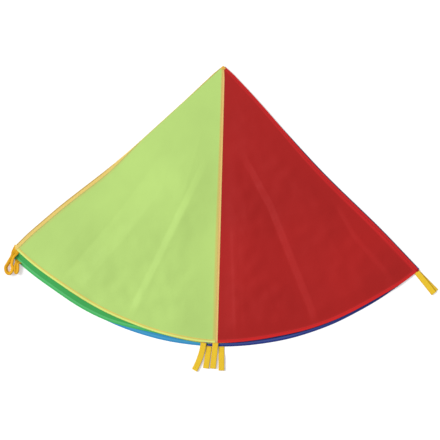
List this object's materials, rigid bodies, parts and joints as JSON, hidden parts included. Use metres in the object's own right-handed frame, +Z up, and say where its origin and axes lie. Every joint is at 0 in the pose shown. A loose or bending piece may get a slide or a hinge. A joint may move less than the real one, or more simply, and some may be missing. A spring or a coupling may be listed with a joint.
{
  "type": "play parachute",
  "caption": "Round fabric play parachute folded into a quarter and laid flat, with coloured gores, seam tapes, a crown patch and strap handle loops round its hem.",
  "frame": {"origin": "on the floor under the middle of the folded canopy with its handles", "axes": "+X across the fold towards its last fold line, +Y from the hem to the crown, +Z up from the floor"},
  "size_m": [1.54, 1.0926, 0.009],
  "materials": {
    "cyan_cloth": "woven, slight sheen",
    "navy_cloth": "woven, slight sheen",
    "green_cloth": "woven, slight sheen",
    "yellow_cloth": "woven, slight sheen",
    "amber_cloth": "woven, slight sheen",
    "purple_cloth": "woven, slight sheen",
    "lime_cloth": "woven, slight sheen",
    "red_cloth": "woven, slight sheen",
    "seam_tape": "woven tape",
    "webbing": "coarse woven strap"
  },
  "bodies": {
    "lower_half": {"panel_cyan": "cyan_cloth", "panel_navy": "navy_cloth", "panel_green": "green_cloth", "panel_yellow": "yellow_cloth", "tape_cyan_navy": "seam_tape", "tape_green_yellow": "seam_tape", "tape_cyan_green": "seam_tape", "tape_purple_yellow": "seam_tape", "crown_patch_lower": "seam_tape"},
    "upper_half": {"panel_amber": "amber_cloth", "panel_purple": "purple_cloth", "panel_lime": "lime_cloth", "panel_red": "red_cloth", "tape_amber_purple": "seam_tape", "tape_lime_red": "seam_tape", "tape_lime_amber": "seam_tape", "tape_red_navy": "red_cloth", "crown_patch_upper": "seam_tape"},
    "handle_amber_purple": {"handle_amber_purple": "webbing"},
    "handle_green_yellow": {"handle_green_yellow": "webbing"},
    "handle_lime_red": {"handle_lime_red": "webbing"},
    "handle_cyan_navy": {"handle_cyan_navy": "webbing"},
    "handle_purple_yellow": {"handle_purple_yellow": "webbing"},
    "handle_red_navy": {"handle_red_navy": "webbing"},
    "handle_lime_amber": {"handle_lime_amber": "webbing"},
    "handle_cyan_green": {"handle_cyan_green": "webbing"}
  },
  "joints": [
    {"name": "open_half", "type": "hinge", "parent": "lower_half", "child": "upper_half", "pos_m": [-0.00613, 0.55021, 0.003], "axis": [-0.7071, 0.7071, 0], "range_deg": [0, 180]},
    {"name": "lift_lime_red", "type": "hinge", "parent": "upper_half", "child": "handle_lime_red", "pos_m": [-0.01242, -0.44108, 0.0062], "axis": [-0.9969, 0.0785, 0], "range_deg": [0, 80]},
    {"name": "lift_amber_purple", "type": "hinge", "parent": "upper_half", "child": "handle_amber_purple", "pos_m": [-0.05502, -0.44208, 0.0046], "axis": [-0.9945, 0.1045, 0], "range_deg": [0, 80]},
    {"name": "lift_green_yellow", "type": "hinge", "parent": "lower_half", "child": "handle_green_yellow", "pos_m": [-0.03372, -0.44308, 0.003], "axis": [-0.9936, 0.1132, 0], "range_deg": [0, 80]},
    {"name": "lift_cyan_navy", "type": "hinge", "parent": "lower_half", "child": "handle_cyan_navy", "pos_m": [0.00888, -0.45408, 0.0016], "axis": [-0.9997, -0.0262, 0], "range_deg": [0, 80]},
    {"name": "lift_red_navy", "type": "hinge", "parent": "upper_half", "child": "handle_red_navy", "pos_m": [0.69667, -0.17026, 0.0058], "axis": [-0.7431, -0.6691, 0], "range_deg": [0, 80]},
    {"name": "lift_purple_yellow", "type": "hinge", "parent": "lower_half", "child": "handle_purple_yellow", "pos_m": [0.69667, -0.17026, 0.0058], "axis": [-0.7431, -0.6691, 0], "range_deg": [0, 80]},
    {"name": "lift_lime_amber", "type": "hinge", "parent": "upper_half", "child": "handle_lime_amber", "pos_m": [-0.73377, -0.12388, 0.009], "axis": [-0.6794, 0.7337, 0], "range_deg": [0, 80]},
    {"name": "lift_cyan_green", "type": "hinge", "parent": "lower_half", "child": "handle_cyan_green", "pos_m": [-0.72629, -0.16938, 0.009], "axis": [-0.7034, 0.7108, 0], "range_deg": [0, 80]}
  ],
  "couplings": [
    {"joint": "lift_purple_yellow", "follows": "lift_red_navy", "ratio": 1}
  ]
}
